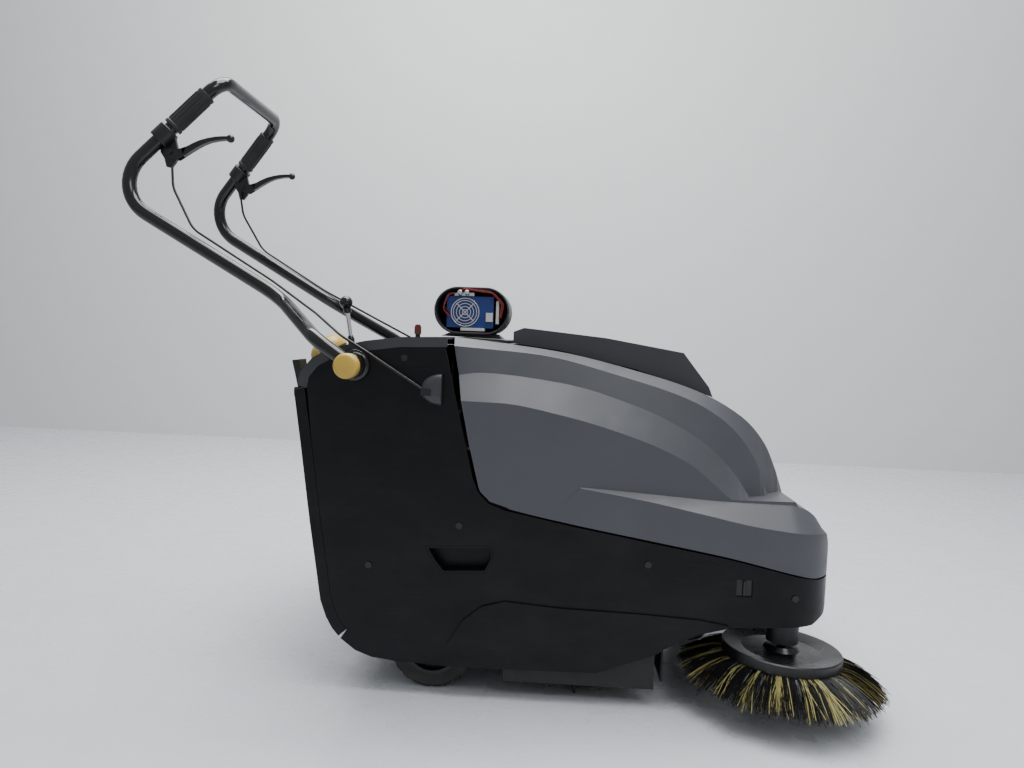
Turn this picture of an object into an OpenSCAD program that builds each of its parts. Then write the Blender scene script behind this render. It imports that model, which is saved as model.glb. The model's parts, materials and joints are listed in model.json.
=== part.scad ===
// Walk behind sweeper: battery sweeper with a roller brush, a side brush and a
// rear hopper. +X is forward, +Z is up, the floor is z = 0.

/* [Body] */
// Half of the width over the side walls
body_half = 315; // [305:1:325]
// Thickness of the moulded walls
wall = 5; // [4:0.5:5]
// Radius of the front corners, seen from above
front_corner = 90; // [70:1:100]
// Foremost point of the body
nose_x = 638; // [635:1:641]

/* [Running gear] */
// Radius of the drive wheels
wheel_r = 80; // [78:1:81]
// Width of the drive wheels
wheel_w = 48; // [40:1:50]
// Place of the drive axle along X
axle_x = -87; // [-95:1:-80]
// Radius of the caster wheel
caster_r = 50; // [45:1:52]
// Place of the caster's swivel along X
caster_x = 470; // [460:1:475]
// Place of the caster's swivel along Y
caster_y = 30; // [0:1:60]

/* [Brushes] */
// Radius of the roller brush
roller_r = 124; // [115:1:124]
// Length of the roller brush
roller_len = 550; // [500:1:550]
// Place of the roller brush along X
roller_x = 180; // [175:1:185]
// Radius of the side brush at its rim
side_rim_r = 106; // [95:1:108]
// Radius of the side brush at its bristle tips
side_tip_r = 188; // [170:1:190]
// Forward lean of the side brush in degrees
side_lean = 2.5; // [0:0.5:3]

/* [Handle] */
// Radius of the handle tube
tube_r = 13.5; // [12:0.5:14]
// Place of the handle's hinge along X
hinge_x = -237; // [-240:1:-234]
// Height of the handle's hinge
hinge_z = 598; // [596:1:600]
// Sideways place of the handle's end lugs
hinge_y = 342; // [341:1:344]

/* [Hidden] */
$fn = 48;
run = 0.06;                       // radial clearance of a shaft in its bore
gap = 0.5;                        // space between pieces that move apart
y_shift = 36.37;                    // puts the origin under the middle of the whole
x_shift = -4.57;
roller_z = 125;
roller_core_r = 45;
wheel_y = 264;                    // middle of a drive wheel
stub_r = 10;                      // radius of the axle stubs
pivot_r = 8;                      // radius of the handle's hinge pins
motor_x = 400;
motor_z = 330;
belt_y = 293;                     // middle of the belt
motor_pulley_r = 25;
roller_pulley_r = 60;
side_x = 555;
side_y = -265;
side_z = 99;
side_tilt = [-1.5, side_lean, 0]; // lean towards the middle, and forward
lift_x = 400;                     // lift hinge of the side brush arm
lift_z = 185;
hood_x = 621;                     // hinge of the hood
hood_z = 262;
shake_tilt = 40;                  // rearward lean of the shaker knob
shake_at = [-318, -160, 604];
ball_x = -260;
ball_y = -225;
ball_z = 590;
latch_x = -366;
latch_z = 540;
bail_z = 472;                     // hinge of the hopper's carrying bail

// ---- outlines in the side view, as [x, z] ----
console_top = [[-341, 558], [-336, 582], [-315, 608], [-282, 627], [-219, 642],
    [-156, 651], [-72, 654]];
panel_back = [[-347.3, 550], [-334, 459], [-314, 313], [-291, 166], [-280, 135], [-268, 114],
    [-256, 100.6]];
belly = [[-252, 97], [-224, 76], [-193, 65], [-150, 60], [-67, 57], [79, 58], [216, 61],
    [244, 72], [320, 100], [344, 117], [397, 142], [446, 155], [540, 160], [596, 164],
    [626, 178], [637, 205], [nose_x, 233], [636, 244]];
hood_seam = [[606, 244], [560, 253], [443, 278], [301, 301], [168, 323], [42, 347],
    [12, 358], [-7, 377], [-18, 402], [-75, 636]];
hood_lower = [[636, 248], [606, 249], [560, 257.5], [443, 282], [301, 305], [168, 327],
    [42, 352], [14, 362], [-4, 379], [-14, 404], [-68, 654]];
skirt_arch = [[-65, 57], [-54, 101], [-29, 143], [6, 171], [46, 182], [147, 175],
    [290, 172], [396, 167], [446, 159], [446, 155], [397, 142], [344, 117], [320, 100],
    [244, 72], [216, 61], [79, 58]];
pocket = [[-101, 276], [-87, 251], [-68, 228], [11, 232], [23, 256], [22, 282]];
tub_side = [[-225, 116], [10, 116], [26, 330], [26, 400], [-40, 440], [-278, 440]];

// ---- hood: side outlines as [x, z] ----
hood_top = [[-76, 654], [19, 646], [129, 634], [275, 603], [384, 570], [467, 527],
    [519, 476], [550, 417], [562, 368]];
arch_high = [[-76, 584], [-14, 591], [131, 578], [276, 539], [385, 486], [450, 426], [484, 371]];
arch_mid = [[-76, 563], [-14, 567], [131, 551], [276, 511], [375, 465], [430, 418], [464, 372]];
arch_low = [[-76, 540], [26, 540], [133, 523], [276, 483], [365, 444], [410, 410], [446, 379],
    [560, 374], [585, 363], [608, 345], [624, 322], [635, 287]];
bonnet_half = 274;
bonnet_x = 590;

// ---- small helpers ----
function unit(v) = v / norm(v);
function normal2(p, q) = let (d = unit(q - p)) [-d[1], d[0]];
// Moves an open outline sideways by t, to its left
function beside(pts, t) = [for (i = [0:len(pts) - 1])
    let (a = normal2(pts[max(i - 1, 0)], pts[max(i, 1)]),
        b = normal2(pts[min(i, len(pts) - 2)], pts[min(i + 1, len(pts) - 1)]),
        m = unit(a + b)) pts[i] + m * t / (m * a)];
// Draws a closed outline in by t
function drawn_in(pts, t) = let (n = len(pts)) [for (i = [0:n - 1])
    let (a = normal2(pts[(i + n - 1) % n], pts[i]), b = normal2(pts[i], pts[(i + 1) % n]),
        m = unit(a + b)) pts[i] + m * t / (m * a)];
function turned(pts) = [for (i = [len(pts) - 1:-1:0]) pts[i]];
function shifted(pts, d) = [for (p = pts) p + d];
function strip(pts, t) = concat(pts, turned(beside(pts, t)));

// Extrudes an outline in x and z between two places along y
module side_on(y0, y1) {
    translate([0, y1, 0]) rotate([90, 0, 0]) linear_extrude(y1 - y0) children();
}
module both_sides() {
    children();
    mirror([0, 1, 0]) children();
}
module along_y(x, z, y0, y1, r) {
    side_on(y0, y1) translate([x, z]) circle(r);
}
module ring_y(x, z, y0, y1, r, bore) {
    side_on(y0, y1) translate([x, z]) difference() {
        circle(r);
        circle(bore);
    }
}
module block(low, high) {
    translate(low) cube(high - low);
}
// The body's outline from above, drawn in by t
module plan_outline(t) {
    r = front_corner - t;
    w = body_half - t;
    translate([-460, -w]) square([460 + nose_x - t - r, 2 * w]);
    translate([nose_x - t - r, -w + r]) square([r, 2 * w - 2 * r]);
    for (s = [-1, 1]) translate([nose_x - t - r, s * (w - r)]) circle(r);
}

// Rounds the inner corners of a route: each corner is [point, radius]
function round_corner(a, b, c, r) = r == 0 ? [b] :
    let (u = unit(a - b), v = unit(c - b), half = acos(u * v) / 2,
        back = r / tan(half), mid = b + unit(u + v) * r / sin(half),
        p = b + u * back, q = b + v * back, sweep = 180 - 2 * half,
        steps = max(2, ceil(sweep / 14)), e = unit(p - mid),
        f = unit((q - mid) - e * ((q - mid) * e)))
    [for (i = [0:steps]) mid + r * (e * cos(sweep * i / steps) + f * sin(sweep * i / steps))];
function rounded(route) = [for (i = [0:len(route) - 1])
    each (i == 0 || i == len(route) - 1) ? [route[i][0]] :
    round_corner(route[i - 1][0], route[i][0], route[i + 1][0], route[i][1])];

// Sweeps a round section along points; ref is never parallel to the route
module swept(pts, r, sides, ref) {
    n = len(pts);
    ring = [for (i = [0:n - 1]) let (
        t = unit(pts[min(i + 1, n - 1)] - pts[max(i - 1, 0)]),
        u = unit(cross(t, ref)), v = cross(u, t))
        for (k = [0:sides - 1]) pts[i] + r * (u * cos(360 * k / sides) + v * sin(360 * k / sides))];
    faces = concat([[for (k = [sides - 1:-1:0]) k]],
        [for (i = [0:n - 2], k = [0:sides - 1]) let (a = i * sides, b = a + sides, m = (k + 1) % sides)
            [a + m, b + m, b + k, a + k]],
        [[for (k = [0:sides - 1]) (n - 1) * sides + k]]);
    polyhedron(ring, faces, convexity = 8);
}

// Places everything so that the origin is under the middle of the whole machine
module placed() {
    translate([x_shift, y_shift, 0]) children();
}

// ---- chassis ----
module body_shell() {
    seam = beside(panel_back, 21);
    outline = concat(belly, hood_seam, [for (i = [5:-1:0]) beside(console_top, -18.5)[i]],
        [for (i = [1:6]) seam[i]]);
    color([0.045, 0.045, 0.05]) placed() difference() {
        intersection() {
            side_on(-body_half, body_half) polygon(outline);
            linear_extrude(700) plan_outline(0);
        }
        translate([0, 0, -1]) linear_extrude(702) plan_outline(wall);
        side_on(-body_half - 1, body_half + 1) polygon(pocket);
        side_on(-body_half - 1, body_half + 1) translate([457, 213]) square([28, 30]);
    }
}

module console_cover() {
    tongue = concat(console_top, [[30, 650.5]]);
    color([0.2, 0.2, 0.21]) placed() difference() {
        union() {
            side_on(-body_half + 2, body_half - 2) polygon(strip(console_top, -4));
            both_sides() side_on(-body_half, -body_half + wall) polygon(strip(console_top, -18));
            side_on(-158, 158) polygon(strip(tongue, -4));
        }
        // lever slot, knob rod and key bores
        block([-281, ball_y - 7, 600], [-236, ball_y + 7, 660]);
        translate(shake_at) rotate([0, -shake_tilt, 0]) cylinder(r = 8, h = 80, center = true);
        translate([-163, -100, 640]) cylinder(r = 8, h = 30);
    }
}

module rear_frame() {
    color([0.1, 0.1, 0.11]) placed() {
        both_sides() {
            side_on(222, 229) difference() {
                polygon([[-235, 62], [30, 62], [30, 172], [-235, 172]]);
                translate([axle_x, wheel_r]) circle(stub_r + gap);
            }
            block([-235, 229, 168], [30, 310, 172]);
            block([-235, 222, 172], [-225, 229, 452]);
            block([20, 222, 172], [30, 229, 452]);
        }
        difference() {
            block([-285, -309, 452], [30, 309, 458]);
            block([-270, -190, 451], [-70, 190, 459]);
        }
    }
}

module front_frame() {
    color([0.1, 0.1, 0.11]) placed() {
        difference() {
            intersection() {
                block([345, -309, 164], [606, 309, 168]);
                linear_extrude(300) plan_outline(wall + gap);
            }
            translate([side_x - 5, side_y, 160]) cylinder(r = 58, h = 12);
            translate([480, side_y - 30, 160]) cube([70, 60, 12]);
        }
        // shelf over the roller, with its front wall and motor saddle
        block([50, -278, 264], [470, 278, 268]);
        difference() {
            union() {
                block([466, -278, 168], [470, 278, 264]);
                both_sides() block([345, 272, 168], [466, 278, 264]);
            }
            // window for the side brush arm
            block([lift_x - 16, -290, 167], [472, -240, 214]);
        }
        difference() {
            block([motor_x - 50, 70, 268], [motor_x + 50, 200, 300]);
            along_y(motor_x, motor_z, 69, 201, 52);
        }
        // lugs and pin of the side brush arm
        for (y = [-300, -206]) block([lift_x - 12, y, 168], [lift_x + 12, y + 6, lift_z + 12]);
        along_y(lift_x, lift_z, -300, -200, 6);
    }
}

module side_cover(s) {
    color([0.05, 0.05, 0.055]) placed() mirror([0, s < 0 ? 0 : 1, 0])
        side_on(-body_half - 4, -body_half) polygon(skirt_arch);
}
module side_cover_right() { side_cover(-1); }
module side_cover_left() { side_cover(1); }

module side_seals() {
    color([0.03, 0.03, 0.03]) placed() both_sides()
        side_on(304.5, 308.5) polygon([[48, 32], [320, 32], [320, 128], [48, 128]]);
}
module front_seal() {
    color([0.03, 0.03, 0.03]) placed() block([336, -278, 34], [340, 278, 180]);
}
module rear_seal() {
    color([0.03, 0.03, 0.03]) placed() block([34, -278, 30], [38, 278, 96]);
}

module brush_tunnel() {
    r0 = roller_r + 7;
    color([0.12, 0.12, 0.13]) placed() {
        side_on(-277, 277) difference() {
            translate([roller_x, roller_z]) difference() {
                circle(r0 + 4);
                circle(r0);
            }
            translate([-20, -20]) square([600, 124]);
            translate([-20, 100]) square([130, 120]);
        }
        // end plates with the bores of the roller's bearings
        both_sides() side_on(278, 282) difference() {
            translate([roller_x, roller_z]) circle(r0 + 4);
            translate([roller_x, roller_z]) circle(12 + run);
            translate([-20, -60]) square([600, 120]);
        }
    }
}

module main_motor() {
    color([0.25, 0.26, 0.28]) placed() {
        along_y(motor_x, motor_z, 20, 230, 51.7);
        along_y(motor_x, motor_z, 0, 20, 40);
        along_y(motor_x, motor_z, 230, 240, 22);
        block([motor_x - 25, 40, motor_z + 45], [motor_x + 25, 110, motor_z + 66]);
    }
}
module motor_pulley() {
    color([0.6, 0.6, 0.62]) placed() {
        along_y(motor_x, motor_z, 240.5, 305, 8);
        along_y(motor_x, motor_z, 284, 302, motor_pulley_r - 3);
        for (y = [284, 300]) along_y(motor_x, motor_z, y, y + 2, motor_pulley_r + 5);
    }
}
module belt_loop(t) {
    hull() {
        translate([roller_x, roller_z]) circle(roller_pulley_r - 3 + t, $fn = 32);
        translate([motor_x, motor_z]) circle(motor_pulley_r - 3 + t, $fn = 32);
    }
}
module drive_belt() {
    color([0.05, 0.05, 0.05]) placed() side_on(belt_y - 6, belt_y + 6) difference() {
        belt_loop(5.5);
        belt_loop(1);
    }
}

module batteries() {
    color([0.13, 0.13, 0.15]) placed() both_sides() {
        block([75, 8, 268.5], [245, 262, 470]);
        block([82, 14, 470], [238, 256, 476]);
        for (x = [105, 215]) translate([x, 40, 476]) cylinder(r = 9, h = 14);
    }
}

module filter_panel() {
    color([0.75, 0.73, 0.66]) placed() {
        block([-278, -200, 458.5], [-62, 200, 466]);
        for (i = [0:17]) block([-272 + i * 11.8, -186, 466], [-266 + i * 11.8, 186, 500]);
        block([-278, -200, 500], [-62, 200, 505]);
    }
}
module suction_fan_housing() {
    color([0.16, 0.16, 0.17]) placed() translate([-150, 110, 505.5]) {
        cylinder(r = 62, h = 44);
        translate([0, 40, 0]) cube([95, 22, 44]);
        translate([0, 0, 44]) cylinder(r = 34, h = 48);
    }
}

module drive_axle_unit() {
    color([0.3, 0.31, 0.33]) placed() {
        along_y(axle_x, wheel_r, -221, 221, 28);
        along_y(axle_x, wheel_r, -292, 292, stub_r);
        block([axle_x - 44, -60, wheel_r - 14], [axle_x - 20, 60, wheel_r + 14]);
    }
}

// Oval shroud, open towards -Y, with the charger inside
pod_x = -48;
pod_z = 707;
module pod_oval(w, h) {
    translate([pod_x, pod_z]) union() {
        for (s = [-1, 1]) translate([s * (w - h) / 2, 0]) circle(h / 2);
        square([w - h, h], center = true);
    }
}
module charger_pod() {
    color([0.04, 0.04, 0.045]) placed() {
        side_on(-150, -40) difference() {
            pod_oval(150, 94);
            pod_oval(140, 84);
        }
        side_on(-44, -40) pod_oval(141, 85);
        side_on(-130, -50) polygon([[-110, 655.5], [14, 652.5], [2, 662], [-95, 662]]);
    }
}
module charger_unit() {
    color([0.05, 0.12, 0.4]) placed() difference() {
        union() {
            block([-99, -138, 672], [-5, -48, 736]);
            block([-80, -144, 736.5], [-46, -110, 744]);
            block([0, -142, 680], [8, -100, 726]);
            block([-70, -142, 666], [-25, -100, 672]);
        }
        along_y(-62, 704, -139, -122, 24);
    }
}
module charger_grille() {
    color([0.6, 0.62, 0.65]) placed() {
        for (r = [6, 12, 18, 24]) ring_y(-62, 704, -140.5, -138.2, r, r - 1.6);
        side_on(-140.5, -138.2) translate([-62, 704]) for (a = [0, 90])
            rotate(a + 45) square([50, 2], center = true);
    }
}
module charger_fan() {
    color([0.04, 0.04, 0.04]) placed() {
        along_y(-62, 704, -137, -125, 8);
        for (k = [0:6]) translate([-62, -131, 704]) rotate([0, k * 360 / 7, 0])
            translate([0, 0, 13]) rotate([0, 0, 30]) cube([10, 1.5, 16], center = true);
    }
}

module cable_outlets() {
    color([0.16, 0.16, 0.17]) placed() both_sides() difference() {
        intersection() {
            along_y(-80, 560, -330, -315.2, 28);
            block([-130, -340, 500], [-78, -300, 620]);
        }
        block([-112, -326, 549], [-97, -319, 561]);
    }
}
module grip_pockets() {
    color([0.03, 0.03, 0.035]) placed() both_sides() difference() {
        side_on(-body_half, -286) polygon(drawn_in(pocket, 0.4));
        side_on(-body_half - 1, -290) polygon(drawn_in(pocket, 4));
    }
}
module side_clips() {
    color([0.06, 0.06, 0.065]) placed() both_sides() {
        block([457.4, -312, 213.4], [484.6, -309, 242.6]);
        translate([471, -313.5, 215]) cylinder(r = 3, h = 26);
    }
}
module side_screws() {
    color([0.2, 0.2, 0.2]) placed() both_sides()
        for (p = [[-147, 614], [-203, 236], [560, 214], [-40, 316], [300, 262]])
            along_y(p[0], p[1], -body_half - 2, -body_half, 6);
}

module handle_brackets() {
    color([0.05, 0.05, 0.05]) placed() both_sides() {
        along_y(hinge_x, hinge_z, -327, -body_half, 29);
        along_y(hinge_x, hinge_z, -374, -327, pivot_r);
    }
}

// ---- cables: from the lever clamps along the handle to the side outlets ----
cable_r = 2.5;
cable_route = [[[-652, -165, 985], 0], [[-646, -172, 930], 60], [[-600, -182, 848], 60],
    [[-440, -180, 752], 60], [[-330, -250, 690], 60], [[-262, -319, 650], 40],
    [[-212, -326, 622], 30], [[-104, -322.5, 555], 0]];
module handle_cables() {
    color([0.03, 0.03, 0.03]) placed() both_sides()
        swept(rounded(cable_route), cable_r, 8, [0.2, 1, 0.1]);
}

// ---- roller brush ----
module roller_core() {
    color([0.1, 0.1, 0.1]) placed() {
        along_y(roller_x, roller_z, -roller_len / 2, roller_len / 2, roller_core_r);
        along_y(roller_x, roller_z, -290, 290, 12);
    }
}
module roller_bristles() {
    color([0.08, 0.08, 0.08]) placed() translate([roller_x, 0, roller_z])
        for (k = [0:15]) rotate([0, k * 22.5, 0])
            translate([-2, -roller_len / 2, roller_core_r])
                cube([4, roller_len, roller_r - roller_core_r]);
}
module roller_pulley() {
    color([0.6, 0.6, 0.62]) placed() difference() {
        union() {
            along_y(roller_x, roller_z, 284, 302, roller_pulley_r - 3);
            for (y = [284, 300]) along_y(roller_x, roller_z, y, y + 2, roller_pulley_r + 4);
        }
        along_y(roller_x, roller_z, 283, 291, 12);
    }
}

// ---- side brush ----
module at_side_brush() {
    translate([side_x, side_y, side_z]) rotate(side_tilt) children();
}
module side_brush_arm() {
    color([0.12, 0.12, 0.13]) placed() {
        difference() {
            union() {
                along_y(lift_x, lift_z, -292, -208, 12);
                side_on(-285, -245) polygon([[lift_x, lift_z - 10], [lift_x, lift_z + 8],
                    [side_x - 30, lift_z + 8], [side_x - 30, lift_z + 1]]);
                at_side_brush() translate([0, 0, 86]) cylinder(r = 34, h = 8);
            }
            along_y(lift_x, lift_z, -293, -207, 6 + run);
            at_side_brush() translate([0, 0, 80]) cylinder(r = 9, h = 30);
        }
    }
}
module side_brush_motor() {
    color([0.25, 0.26, 0.28]) placed() at_side_brush() difference() {
        translate([0, 0, 20]) cylinder(r = 28, h = 65.5);
        translate([0, 0, 19]) cylinder(r = 8 + run, h = 30);
    }
}
module side_brush_disc() {
    color([0.1, 0.1, 0.11]) placed() at_side_brush() difference() {
        rotate_extrude($fn = 96) polygon([[0, -11], [side_rim_r - 3, -11], [side_rim_r, -8],
            [side_rim_r, 9], [side_rim_r - 2, 11], [side_rim_r - 8, 10], [70, 4],
            [32, 6], [26, 14], [8, 14], [8, 44], [0, 44]]);
        translate([0, 0, -12]) cylinder(r = 5, h = 16);
    }
}
module side_brush_bristles() {
    color([0.12, 0.12, 0.08]) placed() at_side_brush() rotate_extrude($fn = 96)
        polygon([[62, -11], [96, -11], [150, -30], [side_tip_r, -54], [side_tip_r - 40, -60],
            [110, -42]]);
}
module side_brush_bolt() {
    color([0.6, 0.6, 0.6]) placed() at_side_brush() {
        translate([0, 0, -19]) cylinder(r = 9, h = 8, $fn = 6);
        translate([0, 0, -11]) cylinder(r = 5, h = 14);
    }
}

// ---- wheels ----
module wheel_hub(s) {
    color([0.14, 0.14, 0.15]) placed() mirror([0, s < 0 ? 0 : 1, 0]) difference() {
        union() {
            ring_y(axle_x, wheel_r, -wheel_y - 20, -wheel_y + 20, wheel_r - 26, wheel_r - 32);
            along_y(axle_x, wheel_r, -wheel_y - 4, -wheel_y + 4, wheel_r - 30);
            along_y(axle_x, wheel_r, -wheel_y - 22, -wheel_y + 22, 20);
        }
        along_y(axle_x, wheel_r, -wheel_y - 23, -wheel_y + 23, stub_r + run);
    }
}
module wheel_hub_right() { wheel_hub(-1); }
module wheel_hub_left() { wheel_hub(1); }
module tyre(s) {
    half = wheel_w / 2;
    color([0.09, 0.09, 0.09]) placed() mirror([0, s < 0 ? 0 : 1, 0])
        translate([axle_x, -wheel_y, wheel_r]) rotate([90, 0, 0]) difference() {
            rotate_extrude($fn = 96) polygon([[wheel_r - 26, -half + 4], [wheel_r - 8, -half],
                [wheel_r, -half + 8], [wheel_r, half - 8], [wheel_r - 8, half], [wheel_r - 26, half - 4]]);
            for (k = [0:23]) rotate([0, 0, k * 15]) for (s = [-1, 1])
                translate([wheel_r - 2, -3, s > 0 ? 6 : -half]) cube([6, 6, half - 6]);
        }
}
module tyre_right() { tyre(-1); }
module tyre_left() { tyre(1); }

module caster_mount() {
    color([0.5, 0.5, 0.52]) placed() translate([caster_x, caster_y, 0]) {
        difference() {
            block([-42, -42, 158], [42, 42, 164]);
            for (x = [-30, 30], y = [-30, 30]) translate([x, y, 150]) cylinder(r = 4.5, h = 20);
        }
        translate([0, 0, 146.5]) cylinder(r = 24, h = 12);
        translate([0, 0, 134]) cylinder(r = 8, h = 20);
        translate([0, 0, 131]) cylinder(r = 12, h = 5);
    }
}
module caster_fork() {
    color([0.5, 0.5, 0.52]) placed() translate([caster_x, caster_y, 0]) {
        difference() {
            union() {
                block([-46, -24, 137], [26, 24, 141]);
                translate([0, 0, 137]) cylinder(r = 26, h = 9);
            }
            translate([0, 0, 130]) cylinder(r = 8 + run, h = 30);
        }
        for (s = [-1, 1]) side_on(s > 0 ? 20 : -24, s > 0 ? 24 : -20)
            polygon([[-46, 140], [24, 140], [-18, 44], [-30, 36], [-44, 44]]);
        along_y(-30, caster_r, -26, 26, 5);
    }
}
module caster_wheel() {
    color([0.1, 0.1, 0.1]) placed() translate([caster_x - 30, caster_y, caster_r])
        rotate([90, 0, 0]) difference() {
            rotate_extrude($fn = 96) polygon([[0, -18], [14, -18], [16, -12], [34, -11], [38, -15],
                [caster_r - 4, -15], [caster_r, -11], [caster_r, 11], [caster_r - 4, 15], [38, 15],
                [34, 11], [16, 12], [14, 18], [0, 18]]);
            cylinder(r = 5 + run, h = 60, center = true);
        }
}

// ---- hopper ----
module hopper_tub() {
    color([0.13, 0.13, 0.14]) placed() {
        difference() {
            side_on(-214, 214) polygon(tub_side);
            side_on(-210, 210) polygon([[-220.6, 120], [6, 120], [21.6, 330], [21.6, 341],
                [60, 341], [60, 460], [-273.4, 460]]);
        }
        // arms to the rear panel and the roller hangers
        both_sides() {
            block([-286, 120, 420], [-268, 150, 438]);
            side_on(172, 180) difference() {
                polygon([[-212, 118], [-160, 118], [-176, 84], [-200, 84]]);
                translate([-188, 96]) circle(5 + run);
            }
        }
    }
}
module hopper_rear_panel() {
    color([0.045, 0.045, 0.05]) placed() {
        difference() {
            side_on(-body_half + 1, body_half - 1) polygon(strip(panel_back, 20));
            side_on(-100, 100) polygon([[-400, 345], [-303, 345], [-320, 490], [-400, 490]]);
            both_sides() along_y(-328, bail_z, 60, 109, 5 + run);
        }
        // ears of the latch
        for (y = [-234, -170]) side_on(y, y + 4) difference() {
            polygon([[-340, 528], [-374, 532], [-374, 548], [-340, 552]]);
            translate([latch_x, latch_z]) circle(6 + run);
        }
    }
}
module hopper_rollers() {
    color([0.1, 0.1, 0.1]) placed() {
        along_y(-188, 96, -206, 206, 5);
        both_sides() ring_y(-188, 96, 182, 202, 19, 5);
    }
}
module hopper_bail() {
    color([0.2, 0.2, 0.21]) placed() {
        both_sides() {
            along_y(-328, bail_z, 70, 108, 5);
            hull() {
                along_y(-328, bail_z, 70, 80, 6);
                along_y(-316, bail_z - 104, 70, 80, 5);
            }
        }
        along_y(-316, bail_z - 104, -75, 75, 6);
    }
}
module hopper_latch() {
    color([0.03, 0.03, 0.03]) placed() {
        along_y(latch_x, latch_z, -236, -164, 6);
        side_on(-222, -178) polygon([[latch_x - 3, latch_z], [latch_x + 3, latch_z],
            [latch_x - 2, 590], [latch_x - 4, 601], [latch_x - 17, 599], [latch_x - 15, 590]]);
    }
}

// ---- hood ----
// A prism under an outline of heights, drawn in by t and closed at the height foot
module hood_prism(heights, half, t, foot) {
    top = t == 0 ? heights : beside(heights, -t);
    side_on(-half, half) polygon(concat(top, [[top[len(top) - 1][0], foot], [top[0][0], foot]]));
}
// The bonnet's outline from above
module bonnet_outline(t) {
    r = 170 - t;
    w = bonnet_half - t;
    translate([-460, -w]) square([460 + bonnet_x - t - r, 2 * w]);
    translate([bonnet_x - t - r, -w + r]) square([r, 2 * w - 2 * r]);
    for (s = [-1, 1]) translate([bonnet_x - t - r, s * (w - r)]) circle(r);
}
module hood_mass(t, foot) {
    intersection() {
        hood_prism(arch_low, 400, t, foot);
        linear_extrude(700) plan_outline(t);
    }
    hood_prism(arch_mid, body_half - 15 - t, t, foot);
    hood_prism(arch_high, body_half - 28 - t, t, foot);
    intersection() {
        hood_prism(hood_top, 400, t, foot);
        linear_extrude(700) bonnet_outline(t);
    }
}
module hood_shell() {
    color([0.2, 0.21, 0.225]) placed() {
        difference() {
            hood_mass(0, 240);
            hood_mass(4, 230);
            side_on(-400, 400) polygon(concat(hood_lower, [[-200, 654], [-200, 100], [660, 100],
                [660, 248]]));
            // notch round the charger's foot
            block([-100, -163, 600], [36, 163, 700]);
        }
        both_sides() difference() {
            union() {
                along_y(hood_x, hood_z, 188, 204, 8);
                side_on(188, 204) polygon([[613, 262], [633, 262], [633, 276], [623, 276], [615, 270]]);
            }
            along_y(hood_x, hood_z, 187, 205, 5 + run);
        }
    }
}
module hood_hinges() {
    color([0.4, 0.4, 0.42]) placed() both_sides() {
        for (y = [179, 207]) side_on(y, y + 6) polygon([[579, 168.5], [597, 168.5], [603, 236],
            [607, 250], [615, 256], [623, 256], [627, 262], [621, 269], [611, 269], [597, 256]]);
        along_y(hood_x, hood_z, 179, 213, 5);
    }
}
tray_top = [[40, 668], [60, 676], [216, 662], [363, 639], [413, 576]];
tray_foot = [[421, 557], [384, 571.5], [275, 604.5], [129, 635.5], [40, 646]];
module hood_tray() {
    color([0.13, 0.13, 0.14]) placed() difference() {
        side_on(-205, 205) polygon(concat(tray_top, tray_foot));
        side_on(-199, 199) polygon([[50, 650], [130, 642], [276, 611], [368, 583], [385, 600],
            [385, 700], [50, 700]]);
    }
}

// ---- handle ----
crook = [-759, -209, 916];
crown = [-556, -152, 1146];
function flip(p) = [p[0], -p[1], p[2]];
handle_half = [[[hinge_x - 8, -hinge_y, hinge_z + 6], 0], [[-300, -340, 641], 60],
    [[-419, -197, 720], 110], [crook, 74], [crown, 45]];
handle_route = concat(handle_half, [for (i = [len(handle_half) - 1:-1:0])
    [flip(handle_half[i][0]), handle_half[i][1]]]);
module handle_tube() {
    color([0.02, 0.02, 0.02]) placed() difference() {
        union() {
            swept(rounded(handle_route), tube_r, 16, [1, 0, 0]);
            both_sides() along_y(hinge_x, hinge_z, -355, -329, 22);
        }
        both_sides() along_y(hinge_x, hinge_z, -360, -320, pivot_r + run);
    }
}
// Works along the upper tube, from 0 at the crook to 1 at the crown
module on_upper_tube(s) {
    d = crown - crook;
    translate(crook + d * s) rotate([0, acos(d[2] / norm(d)), atan2(d[1], d[0])]) children();
}
upper_len = norm(crown - crook);
module handle_grips() {
    color([0.06, 0.06, 0.06]) placed() both_sides() on_upper_tube(0.56) difference() {
        cylinder(r = 17, h = 0.30 * upper_len);
        translate([0, 0, -1]) cylinder(r = tube_r + 0.1, h = 0.32 * upper_len);
    }
}
lever_at = [-648, -176, 996];
module lever_clamps() {
    color([0.03, 0.03, 0.03]) placed() both_sides() difference() {
        union() {
            on_upper_tube(0.44) cylinder(r = 20, h = 0.10 * upper_len);
            side_on(lever_at[1] - 4, lever_at[1] + 4) polygon([[-668, 1020], [-640, 1030],
                [-634, 1004], [-640, 986], [-658, 984], [-668, 996]]);
            along_y(lever_at[0], lever_at[2], lever_at[1] - 9, lever_at[1] + 9, 3);
        }
        on_upper_tube(0.40) cylinder(r = tube_r + 0.1, h = 0.2 * upper_len);
    }
}
module brake_lever(s) {
    color([0.03, 0.03, 0.03]) placed() mirror([0, s < 0 ? 0 : 1, 0])
        translate([lever_at[0], lever_at[1], lever_at[2]]) difference() {
            union() {
                along_y(0, 0, -9, 9, 8);
                side_on(-7, 7) polygon([[-4, -8], [14, -14], [40, -2], [66, 14], [95, 23],
                    [121, 26], [121, 33], [92, 32], [60, 25], [34, 12], [12, 6], [0, 8]]);
            }
            // slot for the clamp's lug, and the pin's bore
            block([-40, -4.6, -40], [24, 4.6, 60]);
            along_y(0, 0, -12, 12, 3 + run);
        }
}
module brake_lever_right() { brake_lever(-1); }
module brake_lever_left() { brake_lever(1); }

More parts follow.
